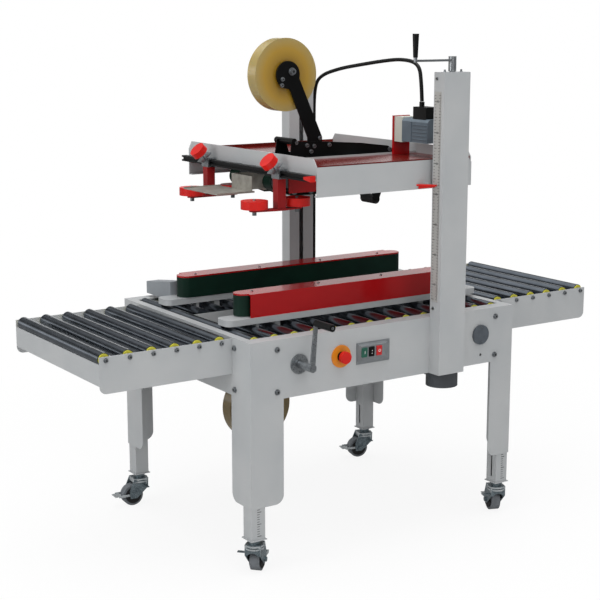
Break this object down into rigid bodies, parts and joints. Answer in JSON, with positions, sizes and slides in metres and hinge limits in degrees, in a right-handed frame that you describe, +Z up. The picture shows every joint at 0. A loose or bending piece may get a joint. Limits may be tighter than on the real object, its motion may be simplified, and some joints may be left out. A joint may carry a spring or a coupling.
{
  "type": "case sealer",
  "caption": "Case sealer with roller conveyor, side drive belts, a height-adjustable sealing head between two columns and tape rolls above and below the bed.",
  "frame": {"origin": "centre of the bounding box on the floor the wheels stand on", "axes": "+X along the conveyor towards the outfeed, +Y across it away from the operator side, +Z up"},
  "size_m": [1.988, 1.068, 1.692],
  "materials": {
    "grey_paint": "satin powder coat",
    "dark_paint": "satin",
    "zinc": "zinc plated",
    "white_plastic": "matte",
    "belt_rubber": "matte",
    "red_paint": "gloss",
    "black_paint": "satin",
    "amber_tape": "gloss",
    "black_rubber": "matte",
    "motor_paint": "satin",
    "red_plastic": "gloss",
    "cast_grey": "satin",
    "grey_plastic": "matte",
    "wheel_rubber": "matte",
    "grey_metal": "worn",
    "black_plastic": "matte"
  },
  "bodies": {
    "frame": {"front_panel": "grey_paint", "rear_panel": "grey_paint", "cross_plates": "grey_paint", "leg_angles": "grey_paint", "leg_tubes": "grey_paint", "wing_plates": "grey_paint", "bed_rails": "grey_paint", "near_column": "grey_paint", "far_column": "grey_paint", "chain_cover": "dark_paint", "wing_rollers": "zinc", "bed_rollers": "zinc", "belt_rods": "zinc", "ruler": "white_plastic", "lower_cartridge": "black_paint", "switch_box": "cast_grey", "panel_fittings": "grey_plastic", "conduit": "black_plastic"},
    "press_near": {"near_press": "red_paint"},
    "press_far": {"far_press": "red_paint"},
    "roll_a": {"near_press_front": "red_plastic"},
    "roll_b": {"near_press_back": "red_plastic"},
    "roll_c": {"far_press_front": "red_plastic"},
    "roll_d": {"far_press_back": "red_plastic"},
    "near_side_belt": {"near_belt_base": "grey_paint", "near_belt": "belt_rubber", "near_belt_cover": "red_paint"},
    "far_side_belt": {"far_belt_base": "grey_paint", "far_end_box": "grey_paint", "far_belt": "belt_rubber", "far_belt_cover": "red_paint"},
    "near_spindle": {"near_screw": "zinc", "top_crank": "zinc"},
    "far_spindle": {"far_screw": "zinc"},
    "width_crank": {"front_crank": "zinc"},
    "upper_tape": {"upper_roll": "amber_tape"},
    "lower_tape": {"lower_roll": "amber_tape"},
    "wipe_roller": {"rear_roller": "black_rubber"},
    "stop": {"stop_button": "red_plastic"},
    "head": {"head_side_plates": "grey_paint", "head_end_plates": "grey_paint", "head_bars": "grey_paint", "carriages": "zinc", "head_belts": "belt_rubber", "head_belt_frames": "zinc", "head_belt_covers": "red_paint", "cartridge": "black_paint", "ski": "grey_metal", "tape_arm": "black_paint", "head_motor": "motor_paint", "guide_bar": "black_paint", "pointer": "red_paint"},
    "swivel_near_infeed": {"fork_near_infeed": "zinc"},
    "caster_near_infeed": {"wheel_near_infeed": "wheel_rubber"},
    "swivel_near_outfeed": {"fork_near_outfeed": "zinc"},
    "caster_near_outfeed": {"wheel_near_outfeed": "wheel_rubber"},
    "swivel_far_infeed": {"fork_far_infeed": "zinc"},
    "caster_far_infeed": {"wheel_far_infeed": "wheel_rubber"},
    "swivel_far_outfeed": {"fork_far_outfeed": "zinc"},
    "caster_far_outfeed": {"wheel_far_outfeed": "wheel_rubber"}
  },
  "joints": [
    {"name": "head_lift", "type": "slide", "parent": "frame", "child": "head", "axis": [0, 0, 1], "range_m": [-0.235, 0.19], "deforming": ["conduit"]},
    {"name": "near_screw_turn", "type": "hinge", "parent": "frame", "child": "near_spindle", "pos_m": [0.221, -0.394, 1.57], "axis": [0, 0, 1], "continuous": true},
    {"name": "far_screw_turn", "type": "hinge", "parent": "frame", "child": "far_spindle", "pos_m": [0.221, 0.506, 1.57], "axis": [0, 0, 1], "continuous": true},
    {"name": "near_belt_width", "type": "slide", "parent": "frame", "child": "near_side_belt", "axis": [0, 1, 0], "range_m": [-0.16, 0.07]},
    {"name": "far_belt_width", "type": "slide", "parent": "frame", "child": "far_side_belt", "axis": [0, 1, 0], "range_m": [-0.07, 0.16]},
    {"name": "width_crank_turn", "type": "hinge", "parent": "frame", "child": "width_crank", "pos_m": [-0.3585, -0.37, 0.6745], "axis": [0, 1, 0], "continuous": true},
    {"name": "near_press_width", "type": "slide", "parent": "head", "child": "press_near", "axis": [0, 1, 0], "range_m": [-0.1, 0.025]},
    {"name": "far_press_width", "type": "slide", "parent": "head", "child": "press_far", "axis": [0, 1, 0], "range_m": [-0.025, 0.1]},
    {"name": "near_press_front_spin", "type": "hinge", "parent": "press_near", "child": "roll_a", "pos_m": [-0.388, -0.158, 1.156], "axis": [0, 0, 1], "continuous": true},
    {"name": "near_press_back_spin", "type": "hinge", "parent": "press_near", "child": "roll_b", "pos_m": [-0.225, -0.158, 1.156], "axis": [0, 0, 1], "continuous": true},
    {"name": "far_press_front_spin", "type": "hinge", "parent": "press_far", "child": "roll_c", "pos_m": [-0.374, 0.27, 1.156], "axis": [0, 0, 1], "continuous": true},
    {"name": "far_press_back_spin", "type": "hinge", "parent": "press_far", "child": "roll_d", "pos_m": [-0.211, 0.27, 1.156], "axis": [0, 0, 1], "continuous": true},
    {"name": "upper_tape_spin", "type": "hinge", "parent": "head", "child": "upper_tape", "pos_m": [-0.142, 0.056, 1.555], "axis": [0, 1, 0], "continuous": true},
    {"name": "lower_tape_spin", "type": "hinge", "parent": "frame", "child": "lower_tape", "pos_m": [-0.252, 0.056, 0.426], "axis": [0, 1, 0], "continuous": true},
    {"name": "wipe_roller_spin", "type": "hinge", "parent": "head", "child": "wipe_roller", "pos_m": [0.23, 0.056, 1.112], "axis": [0, 1, 0], "continuous": true},
    {"name": "stop_press", "type": "slide", "parent": "frame", "child": "stop", "axis": [0, 1, 0], "range_m": [0, 0.004], "stiffness_N_per_m": 1500},
    {"name": "swivel_turn_near_infeed", "type": "hinge", "parent": "frame", "child": "swivel_near_infeed", "pos_m": [-0.51, -0.342, 0.112], "axis": [0, 0, 1], "continuous": true},
    {"name": "wheel_spin_near_infeed", "type": "hinge", "parent": "swivel_near_infeed", "child": "caster_near_infeed", "pos_m": [-0.48622, -0.32059, 0.038], "axis": [-0.6691, 0.7431, 0], "continuous": true},
    {"name": "swivel_turn_near_outfeed", "type": "hinge", "parent": "frame", "child": "swivel_near_outfeed", "pos_m": [0.51, -0.342, 0.112], "axis": [0, 0, 1], "continuous": true},
    {"name": "wheel_spin_near_outfeed", "type": "hinge", "parent": "swivel_near_outfeed", "child": "caster_near_outfeed", "pos_m": [0.52147, -0.31213, 0.038], "axis": [-0.9336, 0.3584, 0], "continuous": true},
    {"name": "swivel_turn_far_infeed", "type": "hinge", "parent": "frame", "child": "swivel_far_infeed", "pos_m": [-0.51, 0.454, 0.112], "axis": [0, 0, 1], "continuous": true},
    {"name": "wheel_spin_far_infeed", "type": "hinge", "parent": "swivel_far_infeed", "child": "caster_far_infeed", "pos_m": [-0.54188, 0.45679, 0.038], "axis": [-0.0872, -0.9962, 0], "continuous": true},
    {"name": "swivel_turn_far_outfeed", "type": "hinge", "parent": "frame", "child": "swivel_far_outfeed", "pos_m": [0.51, 0.454, 0.112], "axis": [0, 0, 1], "continuous": true},
    {"name": "wheel_spin_far_outfeed", "type": "hinge", "parent": "swivel_far_outfeed", "child": "caster_far_outfeed", "pos_m": [0.47909, 0.46228, 0.038], "axis": [-0.2588, -0.9659, 0], "continuous": true}
  ],
  "couplings": [
    {"joint": "far_belt_width", "follows": "near_belt_width", "ratio": -1},
    {"joint": "width_crank_turn", "follows": "near_belt_width", "rad_per_m": -314.16},
    {"joint": "near_screw_turn", "follows": "head_lift", "rad_per_m": 314.16},
    {"joint": "far_screw_turn", "follows": "head_lift", "rad_per_m": 314.16}
  ]
}
